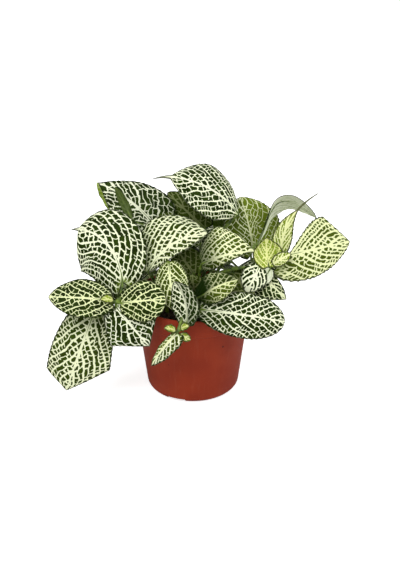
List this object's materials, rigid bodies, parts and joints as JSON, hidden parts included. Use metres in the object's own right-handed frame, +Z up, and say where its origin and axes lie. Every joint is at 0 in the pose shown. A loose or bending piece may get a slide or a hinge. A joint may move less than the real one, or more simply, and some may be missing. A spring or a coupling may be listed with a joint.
{
  "type": "potted nerve plant",
  "caption": "Small foliage house plant with broad net-veined leaves on leafy stems, growing in soil in a round tapered plastic nursery pot.",
  "frame": {"origin": "centre of the pot's flat underside, on the surface it stands on", "axes": "+Z up along the pot's axis, -Y towards the front of the plant, +X to its right"},
  "size_m": [0.2235, 0.1404, 0.1697],
  "materials": {
    "pot_plastic": "satin red-brown moulded plastic",
    "soil": "moist crumbly potting mix",
    "leaf": "living leaf, dark green with a cream-white net of veins, slightly glossy and finely hairy"
  },
  "bodies": {
    "root": {"pot": "pot_plastic", "soil": "soil", "stem_left": "leaf", "stem_upper_left": "leaf", "stem_top": "leaf", "stem_centre_left": "leaf", "stem_centre": "leaf", "stem_front": "leaf", "stem_front_right": "leaf", "stem_right": "leaf", "stem_behind_right": "leaf", "stem_back_1": "leaf", "stem_back_2": "leaf", "stem_back_3": "leaf", "stem_back_4": "leaf", "stem_back_5": "leaf", "stem_back_6": "leaf"}
  },
  "joints": []
}
